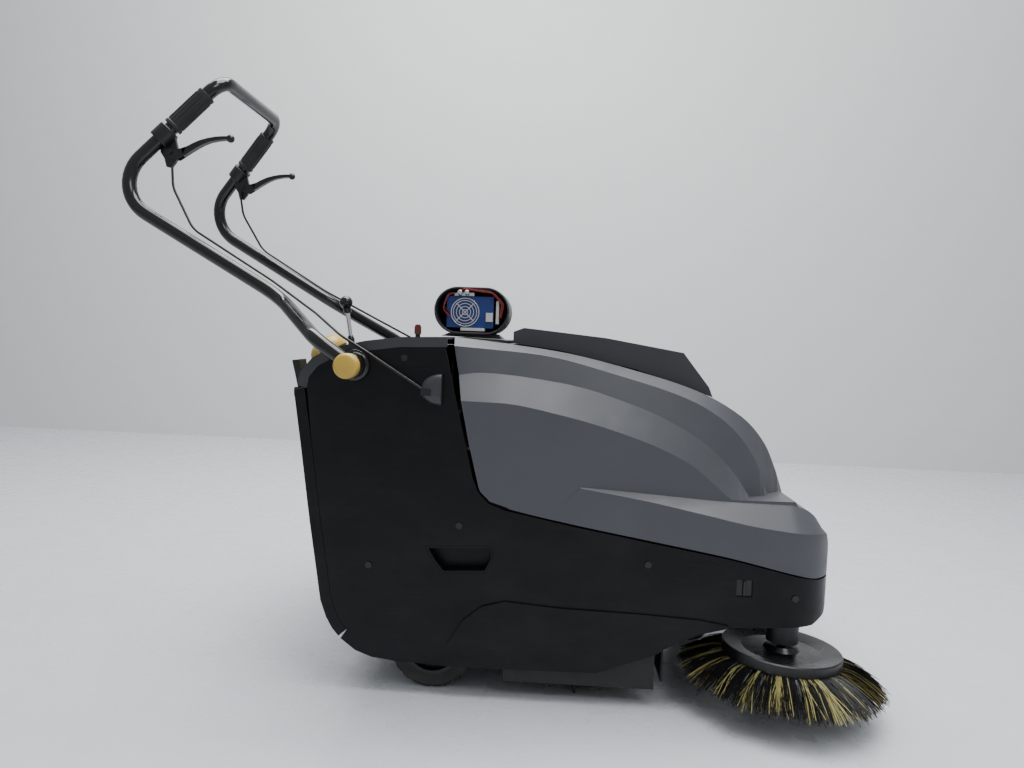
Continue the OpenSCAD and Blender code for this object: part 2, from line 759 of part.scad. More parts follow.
module clamp_knob(s) {
    color([0.75, 0.62, 0.15]) placed() mirror([0, s < 0 ? 0 : 1, 0])
        translate([hinge_x, -357, hinge_z]) rotate([90, 0, 0]) difference() {
            rotate_extrude($fn = 96) polygon([[0, 0], [17, 0], [21.5, 2], [22, 5], [22, 19],
                [20, 22.5], [14, 24], [0, 24.6]]);
            translate([0, 0, -1]) cylinder(r = pivot_r + run, h = 20);
        }
}
module clamp_knob_right() { clamp_knob(-1); }
module clamp_knob_left() { clamp_knob(1); }

// ---- controls on the console ----
module ball_lever() {
    color([0.7, 0.7, 0.7]) placed() {
        along_y(ball_x, ball_z, ball_y - 6, ball_y + 6, 8);
        translate([ball_x, ball_y, ball_z]) rotate([0, -9, 0]) {
            cylinder(r = 4, h = 116);
            translate([0, 0, 124]) sphere(r = 12);
        }
    }
}
module shaker_knob() {
    color([0.75, 0.62, 0.15]) placed() translate(shake_at) rotate([0, -shake_tilt, 0]) {
        translate([0, 0, -30]) cylinder(r = 6, h = 44);
        translate([0, 0, 8]) rotate_extrude($fn = 96) polygon([[0, 0], [34, 0], [38, 4], [38, 14],
            [34, 24], [24, 32], [10, 36], [0, 36.5]]);
    }
}
module start_key() {
    color([0.35, 0.1, 0.06]) placed() translate([-163, -100, 0]) {
        translate([0, 0, 642]) cylinder(r = 5, h = 16);
        block([-7, -1.5, 656], [7, 1.5, 678]);
    }
}

body_shell();
rear_frame();
front_frame();
console_cover();
side_cover_right();
side_cover_left();
side_seals();
front_seal();
rear_seal();
brush_tunnel();
main_motor();
motor_pulley();
drive_belt();
batteries();
filter_panel();
suction_fan_housing();
drive_axle_unit();
charger_pod();
charger_unit();
charger_grille();
charger_fan();
cable_outlets();
grip_pockets();
side_clips();
side_screws();
handle_brackets();
handle_cables();
roller_core();
roller_bristles();
roller_pulley();
side_brush_arm();
side_brush_motor();
side_brush_disc();
side_brush_bristles();
side_brush_bolt();
wheel_hub_right();
wheel_hub_left();
tyre_right();
tyre_left();
caster_mount();
caster_fork();
caster_wheel();
hopper_tub();
hopper_rear_panel();
hopper_rollers();
hopper_bail();
hopper_latch();
hood_shell();
hood_tray();
hood_hinges();
handle_tube();
handle_grips();
lever_clamps();
brake_lever_right();
brake_lever_left();
clamp_knob_right();
clamp_knob_left();
ball_lever();
shaker_knob();
start_key();
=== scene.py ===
"""Looks of the walk behind sweeper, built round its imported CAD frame.

Sizes are in the machine's own millimetres: x forward, y to the left, z up from
the floor, with the body's middle plane at y = 0. place() turns them into
metres in the frame that the CAD uses.
"""

import json
import math
import random

import bpy
from mathutils import Matrix, Vector

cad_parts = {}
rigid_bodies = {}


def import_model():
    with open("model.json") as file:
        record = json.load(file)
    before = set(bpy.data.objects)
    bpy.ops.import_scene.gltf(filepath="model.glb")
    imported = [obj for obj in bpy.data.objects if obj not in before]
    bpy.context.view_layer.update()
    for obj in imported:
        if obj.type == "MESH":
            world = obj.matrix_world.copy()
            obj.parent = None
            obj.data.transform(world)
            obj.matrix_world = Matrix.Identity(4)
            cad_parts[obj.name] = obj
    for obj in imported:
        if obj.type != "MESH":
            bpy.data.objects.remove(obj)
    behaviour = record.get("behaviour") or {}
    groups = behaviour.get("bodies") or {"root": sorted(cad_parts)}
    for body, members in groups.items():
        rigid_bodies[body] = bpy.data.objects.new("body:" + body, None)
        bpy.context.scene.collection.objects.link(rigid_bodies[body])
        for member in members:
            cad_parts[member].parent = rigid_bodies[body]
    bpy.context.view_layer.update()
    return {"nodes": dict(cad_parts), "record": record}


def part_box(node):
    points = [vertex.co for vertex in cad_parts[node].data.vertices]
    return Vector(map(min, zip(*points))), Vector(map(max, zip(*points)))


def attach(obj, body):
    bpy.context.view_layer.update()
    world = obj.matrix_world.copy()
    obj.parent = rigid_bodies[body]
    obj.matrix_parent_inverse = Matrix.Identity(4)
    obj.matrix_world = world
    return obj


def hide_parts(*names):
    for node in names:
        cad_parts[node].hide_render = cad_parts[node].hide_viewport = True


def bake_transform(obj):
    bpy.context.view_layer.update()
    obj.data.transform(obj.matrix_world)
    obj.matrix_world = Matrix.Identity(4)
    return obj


for leftover in list(bpy.data.objects):
    bpy.data.objects.remove(leftover)
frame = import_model()

# ---- the machine's own frame ----
NOSE_X = 638.0          # foremost point of the body
BODY_HALF = 315.0       # half of the body's width
FRONT_CORNER = 90.0     # radius of the front corners, seen from above
shell_low, shell_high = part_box("body_shell")
SHIFT_X = shell_high.x - NOSE_X / 1000
SHIFT_Y = (shell_low.y + shell_high.y) / 2


def place(x, y, z):
    """A point of the machine, in metres in the frame's own axes."""
    return Vector((x / 1000 + SHIFT_X, y / 1000 + SHIFT_Y, z / 1000))


def lookup(x, table):
    """The value at x of a table of (x, value) pairs with rising x."""
    if x <= table[0][0]:
        return table[0][1]
    for (x0, v0), (x1, v1) in zip(table, table[1:]):
        if x <= x1:
            return v0 + (v1 - v0) * (x - x0) / (x1 - x0)
    return table[-1][1]


def smooth(x, table):
    """The value at x of a smooth curve through a table, with no overshoot."""
    if x <= table[0][0] or x >= table[-1][0]:
        return lookup(x, table)
    slopes = [(b[1] - a[1]) / (b[0] - a[0]) for a, b in zip(table, table[1:])]
    i = next(k for k in range(len(slopes)) if x <= table[k + 1][0])

    def tangent(k):
        if k == 0 or k == len(slopes):
            return slopes[min(k, len(slopes) - 1)]
        a, b = slopes[k - 1], slopes[k]
        return 0.0 if a * b <= 0 else 2 * a * b / (a + b)

    (x0, v0), (x1, v1) = table[i], table[i + 1]
    span = x1 - x0
    t = (x - x0) / span
    return (v0 * (1 + 2 * t) * (1 - t) ** 2 + v1 * t * t * (3 - 2 * t)
            + tangent(i) * span * t * (1 - t) ** 2 - tangent(i + 1) * span * t * t * (1 - t))


# ---- materials ----
def new_material(name, color, rough, metal=0.0):
    mat = bpy.data.materials.new(name)
    mat.use_nodes = True
    bsdf = mat.node_tree.nodes["Principled BSDF"]
    bsdf.inputs["Base Color"].default_value = (*color, 1)
    bsdf.inputs["Roughness"].default_value = rough
    bsdf.inputs["Metallic"].default_value = metal
    return mat


def node(mat, kind, **sockets):
    made = mat.node_tree.nodes.new(kind)
    for key, value in sockets.items():
        made.inputs[key.replace("_", " ")].default_value = value
    return made


def link(mat, a, b):
    mat.node_tree.links.new(a, b)


def position(mat, scale=(1, 1, 1)):
    """Object coordinates, stretched by scale along each axis."""
    coord = mat.node_tree.nodes.new("ShaderNodeTexCoord")
    mapping = mat.node_tree.nodes.new("ShaderNodeMapping")
    mapping.inputs["Scale"].default_value = scale
    link(mat, coord.outputs["Object"], mapping.inputs["Vector"])
    return mapping.outputs["Vector"]


def noise(mat, scale, stretch=(1, 1, 1), detail=4.0, rough=0.55):
    made = node(mat, "ShaderNodeTexNoise", Scale=scale, Detail=detail, Roughness=rough)
    link(mat, position(mat, stretch), made.inputs["Vector"])
    return made.outputs["Fac"]


def remap(mat, value, low, high, to_low, to_high):
    made = mat.node_tree.nodes.new("ShaderNodeMapRange")
    made.inputs["From Min"].default_value = low
    made.inputs["From Max"].default_value = high
    made.inputs["To Min"].default_value = to_low
    made.inputs["To Max"].default_value = to_high
    link(mat, value, made.inputs["Value"])
    return made.outputs["Result"]


def combine(mat, how, a, b):
    made = mat.node_tree.nodes.new("ShaderNodeMath")
    made.operation = how
    for i, value in enumerate((a, b)):
        if isinstance(value, (int, float)):
            made.inputs[i].default_value = value
        else:
            link(mat, value, made.inputs[i])
    return made.outputs["Value"]


def tint(mat, amount, color_a, color_b):
    """Base colour that goes from color_a to color_b as amount goes from 0 to 1."""
    mix = mat.node_tree.nodes.new("ShaderNodeMix")
    mix.data_type = "RGBA"
    mix.inputs[6].default_value = (*color_a, 1)
    mix.inputs[7].default_value = (*color_b, 1)
    link(mat, amount, mix.inputs[0])
    link(mat, mix.outputs[2], mat.node_tree.nodes["Principled BSDF"].inputs["Base Color"])


def roughness(mat, value):
    link(mat, value, mat.node_tree.nodes["Principled BSDF"].inputs["Roughness"])


def bump(mat, height, strength, distance):
    made = node(mat, "ShaderNodeBump", Strength=strength, Distance=distance)
    link(mat, height, made.inputs["Height"])
    link(mat, made.outputs["Normal"], mat.node_tree.nodes["Principled BSDF"].inputs["Normal"])


def plastic(name, color, worn, rough, grain=0.25, streaks=0.0, dust_top=0.0):
    """Moulded plastic: fine grain, patchy gloss, streaks of scuffs, dust near the floor."""
    mat = new_material(name, color, rough)
    patches = noise(mat, 9, (1, 1, 1.6))
    amount = remap(mat, patches, 0.42, 0.72, 0.0, 0.35)
    if streaks:
        scuffs = noise(mat, 6, (1.2, 1, 34), 6, 0.7)
        amount = combine(mat, "ADD", amount, remap(mat, scuffs, 0.56, 0.74, 0.0, streaks))
    if dust_top:
        coord = mat.node_tree.nodes.new("ShaderNodeTexCoord")
        split = mat.node_tree.nodes.new("ShaderNodeSeparateXYZ")
        link(mat, coord.outputs["Object"], split.inputs["Vector"])
        low = remap(mat, split.outputs["Z"], 0.0, dust_top, 0.75, 0.0)
        cloud = remap(mat, noise(mat, 14, (1, 1, 2.5), 5), 0.35, 0.7, 0.3, 1.0)
        amount = combine(mat, "ADD", amount, combine(mat, "MULTIPLY", low, cloud))
    tint(mat, combine(mat, "MINIMUM", amount, 1.0), color, worn)
    roughness(mat, remap(mat, noise(mat, 22), 0.3, 0.7, rough - 0.06, rough + 0.1))
    bump(mat, noise(mat, 1500, detail=2), grain, 0.00008)
    return mat


def metal(name, color, rough, stretch=(1, 1, 1), grime=0.3):
    """Bare metal with grime and a gloss that varies along the stretched axes."""
    mat = new_material(name, color, rough, 1.0)
    tint(mat, remap(mat, noise(mat, 40), 0.5, 0.8, 0, grime), color, (0.12, 0.1, 0.08))
    roughness(mat, remap(mat, noise(mat, 120, stretch), 0.3, 0.7, rough - 0.08, rough + 0.12))
    return mat


BLACK = plastic("body_black", (0.0022, 0.0023, 0.003), (0.013, 0.013, 0.015),
                0.36, 0.3, 0.4, 0.16)
BLACK.node_tree.nodes["Principled BSDF"].inputs["Specular IOR Level"].default_value = 0.22
HOOD = plastic("hood_grey", (0.058, 0.062, 0.072), (0.072, 0.076, 0.086),
               0.4, 0.35, 0.15)
TRAY = plastic("tray_grey", (0.032, 0.031, 0.038), (0.045, 0.044, 0.05), 0.45, 0.5)
TRIM = plastic("trim_grey", (0.03, 0.031, 0.036), (0.045, 0.045, 0.05), 0.4, 0.4)
FRAME_PAINT = plastic("frame_dark", (0.006, 0.006, 0.007), (0.02, 0.019, 0.018),
                      0.4, 0.15, 0.1, 0.2)
RUBBER = plastic("rubber_black", (0.012, 0.012, 0.013), (0.035, 0.034, 0.032), 0.62, 0.9)
TYRE = plastic("tyre_rubber", (0.016, 0.016, 0.016), (0.06, 0.057, 0.052),
               0.72, 0.9, 0.2, 0.15)
INNER = plastic("inner_plastic", (0.017, 0.017, 0.018), (0.045, 0.044, 0.042),
                0.42, 0.3, 0.25)
BRUSH = plastic("brush_plastic", (0.006, 0.006, 0.008), (0.02, 0.02, 0.021), 0.3, 0.3, 0.3)
CONTROL = plastic("control_black", (0.004, 0.004, 0.0045), (0.014, 0.014, 0.014), 0.36, 0.5)
YELLOW = plastic("signal_yellow", (0.50, 0.33, 0.055), (0.36, 0.24, 0.05), 0.33, 0.3)
KEY = plastic("key_red", (0.16, 0.03, 0.02), (0.1, 0.03, 0.02), 0.35, 0.3)
BLUE = plastic("charger_blue", (0.008, 0.035, 0.2), (0.02, 0.045, 0.16), 0.28, 0.1)
BATTERY = plastic("battery_case", (0.02, 0.02, 0.024), (0.05, 0.05, 0.05), 0.45)
FILTER = plastic("filter_paper", (0.62, 0.6, 0.53), (0.4, 0.38, 0.33), 0.85, 0.8)
GLOSS = plastic("gloss_black", (0.006, 0.006, 0.006), (0.014, 0.014, 0.014), 0.13, 0.02)
CHROME = metal("chrome", (0.78, 0.79, 0.81), 0.14, grime=0.08)
WIRE = metal("wire_metal", (0.62, 0.63, 0.66), 0.22)
ZINC = metal("zinc_metal", (0.46, 0.47, 0.49), 0.34)
MOTOR = plastic("motor_metal", (0.02, 0.021, 0.024), (0.03, 0.03, 0.03), 0.42)
PULLEY = metal("pulley_metal", (0.56, 0.57, 0.59), 0.3, (1, 30, 1))
PALE = plastic("white_plastic", (0.6, 0.6, 0.57), (0.42, 0.42, 0.4), 0.4, 0.1)
RED = plastic("red_wire", (0.3, 0.015, 0.012), (0.2, 0.02, 0.015), 0.35, 0.1)
BRISTLE_BLACK = plastic("bristle_black", (0.004, 0.004, 0.005), (0.014, 0.014, 0.014),
                        0.4, 0.1)
BRISTLE_YELLOW = plastic("bristle_yellow", (0.36, 0.32, 0.12), (0.2, 0.18, 0.08),
                         0.42, 0.1)

FINISH = {
    "body_black": BLACK, "hood_grey": HOOD, "trim_grey": TRIM, "frame_dark": FRAME_PAINT,
    "rubber_black": RUBBER, "tyre_rubber": TYRE, "motor_metal": MOTOR, "pulley_metal": PULLEY,
    "battery_case": BATTERY, "filter_paper": FILTER, "inner_plastic": INNER,
    "charger_blue": BLUE, "wire_metal": WIRE, "zinc_metal": ZINC, "gloss_black": GLOSS,
    "control_black": CONTROL, "bristle_mix": BRISTLE_BLACK, "signal_yellow": YELLOW,
    "chrome_rod": CHROME, "key_red": KEY,
}
OWN_FINISH = {"hood_tray": TRAY, "side_brush_disc": BRUSH, "side_clips": CONTROL}
slot_of = {part["node"]: part["material_slot"] for part in frame["record"]["subparts"]}


def bevel(obj, width, segments=3, angle=30):
    """Rounded edges, width in millimetres, where faces turn by more than angle."""
    made = obj.modifiers.new("bevel", "BEVEL")
    made.width = width / 1000
    made.segments = segments
    made.limit_method = "ANGLE"
    made.angle_limit = math.radians(angle)
    made.harden_normals = True
    made.use_clamp_overlap = True
    return made


# ---- CAD nodes that are shown as they are ----
PLAIN_EDGE = 0.8        # bevel of a node that EDGE doesn't name
EDGE = {"hopper_rear_panel": 3, "hood_tray": 3, "batteries": 4, "side_brush_arm": 1.5,
        "console_cover": 1.5, "body_shell": 1.5, "drive_axle_unit": 1}
for name, obj in frame["nodes"].items():
    obj.data.materials.clear()
    obj.data.materials.append(OWN_FINISH.get(name, FINISH[slot_of[name]]))
    if name not in ("handle_cables", "drive_belt"):
        bevel(obj, EDGE.get(name, PLAIN_EDGE), 2)


# ---- building pieces ----
def piece(name, points, faces, mat, body, stands_for=(), slot=None, sharp=40):
    """A mesh from points in the machine's millimetres, riding on a body."""
    data = bpy.data.meshes.new(name)
    data.from_pydata([place(*p) for p in points], [], faces)
    data.update()
    obj = bpy.data.objects.new(name, data)
    bpy.context.scene.collection.objects.link(obj)
    for one in mat if isinstance(mat, (list, tuple)) else (mat,):
        data.materials.append(one)
    data.shade_smooth()
    data.set_sharp_from_angle(angle=math.radians(sharp))
    if body:
        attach(obj, body)
    if stands_for:
        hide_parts(*stands_for)
    return obj


def ring_points(centre, tangent, radius, sides, up):
    """Points of a circle round centre, square to tangent."""
    side = tangent.cross(up).normalized()
    over = side.cross(tangent).normalized()
    return [centre + radius * (side * math.cos(2 * math.pi * k / sides)
                               + over * math.sin(2 * math.pi * k / sides))
            for k in range(sides)]


def tube(route, radius, sides=24):
    """Points and faces of a closed round tube along a route, with carried normals."""
    n = len(route)
    radii = radius if isinstance(radius, (list, tuple)) else [radius] * n
    points, faces = [], []
    up = None
    for i in range(n):
        tangent = (route[min(i + 1, n - 1)] - route[max(i - 1, 0)]).normalized()
        if up is None:
            up = tangent.orthogonal().normalized()
        up = (up - tangent * up.dot(tangent)).normalized()
        points += ring_points(route[i], tangent, radii[i], sides, up)
    for i in range(n - 1):
        for k in range(sides):
            a, b, q = i * sides, (i + 1) * sides, (k + 1) % sides
            faces.append((a + k, b + k, b + q, a + q))
    faces.append(tuple(range(sides)))
    faces.append(tuple((n - 1) * sides + k for k in reversed(range(sides))))
    return points, faces


def rounded(route, steps=12):
    """A route with its inner corners turned into arcs: each corner is (point, radius)."""
    points = [Vector(p) for p, _ in route]
    out = [points[0]]
    for a, b, c, (_, r) in zip(points, points[1:], points[2:], route[1:]):
        u, v = (a - b).normalized(), (c - b).normalized()
        half = u.angle(v) / 2
        mid = b + (u + v).normalized() * r / math.sin(half)
        p = b + u * r / math.tan(half)
        q = b + v * r / math.tan(half)
        e = (p - mid).normalized()
        sweep = math.pi - 2 * half
        f = ((q - mid) - e * (q - mid).dot(e)).normalized()
        for i in range(steps + 1):
            turn = sweep * i / steps
            out.append(mid + r * (e * math.cos(turn) + f * math.sin(turn)))
    return out + [points[-1]]


def revolve(profile, matrix, sides=64, loop=False):
    """A body turned round the matrix's z axis; the profile is (radius, height).

    It is closed by flat ends, or is a ring if loop is set.
    """
    points, faces = [], []
    if loop:
        profile = list(profile) + [profile[0]]
    for r, h in profile:
        for k in range(sides):
            turn = 2 * math.pi * k / sides
            points.append(matrix @ Vector((max(r, 0.01) * math.cos(turn),
                                           max(r, 0.01) * math.sin(turn), h)))
    for i in range(len(profile) - 1):
        for k in range(sides):
            a, b, q = i * sides, (i + 1) * sides, (k + 1) % sides
            faces.append((a + k, a + q, b + q, b + k))
    if not loop:
        faces.append(tuple(reversed(range(sides))))
        faces.append(tuple((len(profile) - 1) * sides + k for k in range(sides)))
    return points, faces


class Batch:
    """Several closed shapes in one mesh, each with its own material index."""

    def __init__(self):
        self.points, self.faces, self.kinds = [], [], []

    def add(self, shape, kind=0):
        points, faces = shape
        base = len(self.points)
        self.points += points
        self.faces += [tuple(base + i for i in f) for f in faces]
        self.kinds += [kind] * len(faces)

    def build(self, name, mats, body, **options):
        obj = piece(name, self.points, self.faces, mats, body, **options)
        for polygon, kind in zip(obj.data.polygons, self.kinds):
            polygon.material_index = kind
        return obj


def cuboid(low, high):
    """A box between two opposite corners."""
    (a, b, c), (d, e, f) = low, high
    points = [Vector(p) for p in ((a, b, c), (d, b, c), (d, e, c), (a, e, c),
                                  (a, b, f), (d, b, f), (d, e, f), (a, e, f))]
    return points, [(0, 3, 2, 1), (4, 5, 6, 7), (0, 1, 5, 4), (1, 2, 6, 5),
                    (2, 3, 7, 6), (3, 0, 4, 7)]


def prism(outline, y0, y1):
    """A plate with an [x, z] outline between two places along y."""
    n = len(outline)
    points = [Vector((x, y, z)) for y in (y0, y1) for x, z in outline]
    following = outline[1:] + outline[:1]
    area = sum(a * d - c * b for (a, b), (c, d) in zip(outline, following))
    faces = [tuple(range(n)), tuple(n + i for i in reversed(range(n)))]
    faces += [(n + i, n + (i + 1) % n, (i + 1) % n, i) for i in range(n)]
    if (area > 0) != (y1 > y0):
        faces = [tuple(reversed(f)) for f in faces]
    return points, faces


def turned(centre, axis):
    """A matrix whose z axis points along axis, at centre."""
    aim = Vector(axis).normalized().to_track_quat("Z", "Y").to_matrix().to_4x4()
    return Matrix.Translation(Vector(centre)) @ aim


# ---- hood: its edges seen from the side, as (x, z) from the rear to the nose ----
TOP = [(-68, 654), (17, 646), (130, 633), (279, 601), (391, 568), (476, 523), (528, 471),
       (556, 420), (568, 366)]
CHAMFER = [(-64, 638), (93, 627), (240, 594), (368, 555), (442, 512), (502, 441),
           (530, 372)]
ARCH_HIGH = [(-56, 585), (-14, 591), (131, 578), (276, 539), (385, 486), (450, 430),
             (490, 376)]
ARCH_LOW = [(-44, 541), (26, 540), (133, 523), (276, 483), (365, 444), (410, 410),
            (446, 379)]
WEDGE_X, WEDGE_Z = 147, 397     # where the bumper wedge starts
WEDGE_HIGH = [(WEDGE_X, WEDGE_Z), (283, 387), (452, 375), (560, 373)]
WEDGE_LOW = [(WEDGE_X, WEDGE_Z), (280, 378), (387, 358), (492, 338), (575, 329),
             (624, 325), (634, 288)]
FOOT = [(14, 362), (42, 352), (168, 327), (301, 305), (443, 281), (560, 256),
        (606, 247.5), (634, 247.5)]
BROW_X, NO_BROW = 560, 1000     # the brow starts at BROW_X and cuts nothing before it
BROW = [(BROW_X, 373), (576, 368), (594, 359), (608, 347), (620, 330), (628, 309),
        (633, 291), (635, 284)]
SEAM = [(352, 42), (362, 14), (379, -4), (404, -14), (654, -68)]    # rear edge, (z, x)
INSET = [(WEDGE_X, 0), (450, 30), (560, 36)]                        # of the side, (x, y)
BONNET_HALF = [(-72, 276), (276, 274), (385, 268), (467, 253), (514, 232), (545, 206),
               (560, 186), (635, 160)]                              # half width, (x, y)
HOOD_X = [-68, -52, -36, -14, 8, 30, 60, 96, 130, 147, 175, 207, 245, 280, 305, 326,
          345, 363, 380, 396, 411, 424, 436, 448, 462, 476, 488, 500, 510, 520, 529,
          537, 545, 552, 558, 563, 568, 576, 585, 594, 602, 609, 615, 620, 625, 629,
          632.5, 635]
HALF_ROWS = 10                  # points in half of a section
SEAM_END_X = 60                 # the seam's slant fades out here
NOTCH_X, NOTCH_ROW = 31, 8      # notch in the rear edge for the charger's foot
STEP = 0.4                      # least rise from one edge of the hood to the next


def plan_half(x):
    """Half of the body's width at x, with its rounded front corners."""
    over = x - (NOSE_X - FRONT_CORNER)
    if over <= 0:
        return BODY_HALF
    return BODY_HALF - FRONT_CORNER + math.sqrt(max(FRONT_CORNER ** 2 - over ** 2, 0))


def hood_section(x):
    """Half of a section of the hood at x, from its foot to the middle, as (y, z)."""
    wide = plan_half(x)
    face = wide - smooth(x, INSET)
    brow = smooth(x, BROW) if x > BROW_X else NO_BROW
    foot = smooth(x, FOOT)
    if x > WEDGE_X:
        wedge_low = min(smooth(x, WEDGE_LOW), brow - 2)
        wedge_high = max(min(smooth(x, WEDGE_HIGH), brow), wedge_low + 0.5)
    else:
        wedge_low = foot + (WEDGE_Z - foot) * 0.5
        wedge_high = wedge_low + 8
    arch_low = max(smooth(x, ARCH_LOW), wedge_high + STEP)
    arch_high = max(smooth(x, ARCH_HIGH), arch_low + STEP)
    chamfer = max(smooth(x, CHAMFER), arch_high + STEP)
    top = max(smooth(x, TOP), chamfer + STEP)
    bonnet = min(smooth(x, BONNET_HALF), face - 8)
    if x > BROW_X + 6:
        edges = (arch_low, arch_high, chamfer, top)
        arch_low, arch_high, chamfer, top = (min(v, brow + 0.3 * i)
                                             for i, v in enumerate(edges))
    slant = min(1.0, (top - arch_high) / 60)
    rows = [(wide, foot), (wide, wedge_low), (face, wedge_high),
            (face, wedge_high + (arch_low - wedge_high) * 0.5), (face, arch_low),
            (bonnet + 3, arch_high), (bonnet - 9 * slant, chamfer),
            (bonnet - 39 * slant - 1, top)]
    return rows + [(rows[-1][0] * k, top) for k in (0.66, 0.33)]


def hood_points():
    """Columns of points round the hood; the rear ones lean to follow the seam."""
    columns = []
    for x in HOOD_X:
        column = []
        for row in range(HALF_ROWS):
            at = x
            for _ in range(4):
                y, z = hood_section(at)[row]
                seam = lookup(z, SEAM)
                if x < SEAM_END_X:
                    along = (x - HOOD_X[0]) / (SEAM_END_X - HOOD_X[0])
                    at = seam + along * (SEAM_END_X - seam)
            column.append((at, -y, z))
        columns.append(column + [(p[0], -p[1], p[2]) for p in reversed(column)])
    return columns


columns = hood_points()
rows_round = len(columns[0])
hood_verts = [p for column in columns for p in column]
hood_faces = []
for i in range(len(columns) - 1):
    for k in range(rows_round - 1):
        in_notch = NOTCH_ROW <= k <= rows_round - NOTCH_ROW - 2
        if columns[i + 1][k][0] <= NOTCH_X and in_notch:
            continue
        a, b = i * rows_round + k, (i + 1) * rows_round + k
        hood_faces.append((a, b, b + 1, a + 1))
last = (len(columns) - 1) * rows_round
hood_faces.append(tuple(last + k for k in range(rows_round)))
hood = piece("hood", hood_verts, hood_faces, HOOD, "hood", ("hood_shell",), "hood_grey",
             sharp=50)
shell = hood.modifiers.new("shell", "SOLIDIFY")
shell.thickness = 0.004
shell.offset = -1
bevel(hood, 4, 4, 8)

# ---- lip of the body that stands inside the hood's lower edge ----
LIP = [(-76, 632), (-22, 404), (-11, 377), (8, 358), (38, 347), (168, 323), (301, 301),
       (443, 278), (520, 262), (560, 253), (583, 249), (600, 246), (614, 244)]
lip_points, lip_faces = [], []
for side in (-1, 1):
    base = len(lip_points)
    for x, z in LIP:
        inset = plan_half(x) - 7
        lip_points += [(x, side * inset, z - 5), (x, side * inset, z + 8)]
    lip_faces += [(base + 2 * i, base + 2 * i + 2, base + 2 * i + 3, base + 2 * i + 1)
                  for i in range(len(LIP) - 1)]
lip = piece("body_lip", lip_points, lip_faces, BLACK, "chassis", (), "body_black")
lip.modifiers.new("shell", "SOLIDIFY").thickness = 0.002
# two blocks behind the gap under the rear panel's lower corners
corner = [(-246, 101), (-236, 92), (-216, 108), (-232, 126), (-242, 117)]
filler = Batch()
for y0, y1 in ((-306, -280), (280, 306)):
    filler.add(prism(corner, y0, y1))
filler.build("corner_filler", [BLACK], "chassis", slot="body_black")

# ---- side brush ----
SIDE_X, SIDE_Y, SIDE_Z = 555.0, -265.0, 99.0
tilt = Matrix.Rotation(math.radians(2.5), 4, "Y") @ Matrix.Rotation(math.radians(-1.5), 4, "X")
at_brush = Matrix.Translation(Vector((SIDE_X, SIDE_Y, SIDE_Z))) @ tilt
random.seed(7)
tufts = Batch()
for count, root_r, tip_r, drop in ((46, 76, 156, 46), (60, 94, 179, 40)):
    for i in range(count):
        turn = 2 * math.pi * (i + random.uniform(-0.2, 0.2)) / count
        splay = random.gauss(0, 0.035)
        reach = tip_r + random.uniform(-9, 5)
        yellow = random.uniform(0.35, 0.75) if i % 3 == 0 else random.uniform(0.0, 0.12)
        for _ in range(26):
            r0 = root_r + random.uniform(-3.5, 3.5)
            t0 = turn + random.uniform(-3.5, 3.5) / root_r
            t1 = turn + splay + random.gauss(0, 0.06)
            r1 = min(reach + random.gauss(0, 5), 186)
            fall = drop + random.gauss(0, 4.5)
            route = []
            for step in range(5):
                f = step / 4
                r = r0 + (r1 - r0) * (f ** 0.85)
                t = t0 + (t1 - t0) * f
                z = -6 - fall * f ** 1.5
                route.append(at_brush @ Vector((r * math.cos(t), r * math.sin(t), z)))
            thick = random.uniform(0.55, 0.85)
            tufts.add(tube(route, [thick, thick, thick, thick * 0.9, thick * 0.65], 3),
                      1 if random.random() < yellow else 0)
tufts.build("side_brush_tufts", [BRISTLE_BLACK, BRISTLE_YELLOW], "side_brush",
            stands_for=("side_brush_bristles",), slot="bristle_mix")

# ---- handle ----
HINGE_X, HINGE_Y, HINGE_Z, TUBE_R = -237.0, 342.0, 598.0, 13.5
CROOK, CROWN = Vector((-759, -209, 916)), Vector((-556, -152, 1146))
half_route = [((HINGE_X - 8, -HINGE_Y, HINGE_Z + 6), 0), ((-300, -340, 641), 60),
              ((-419, -197, 720), 110), (tuple(CROOK), 74), (tuple(CROWN), 45)]
mirror_route = [((p[0], -p[1], p[2]), r) for p, r in reversed(half_route)]
handle = Batch()
handle.add(tube(rounded(half_route + mirror_route), TUBE_R, 32))
for s in (-1, 1):
    handle.add(revolve([(0, -13), (21, -13), (22, -12), (22, 12), (21, 13), (0, 13)],
                       turned((HINGE_X, s * HINGE_Y, HINGE_Z), (0, 1, 0))))
handle.build("handle_bar", [GLOSS], "handle", stands_for=("handle_tube",), slot="gloss_black")

upper = CROWN - CROOK


def on_upper(s, side):
    """A matrix at the share s of the handle's upper tube, with z along the tube."""
    point = CROOK + upper * s
    return turned((point.x, -side * point.y, point.z), (upper.x, -side * upper.y, upper.z))


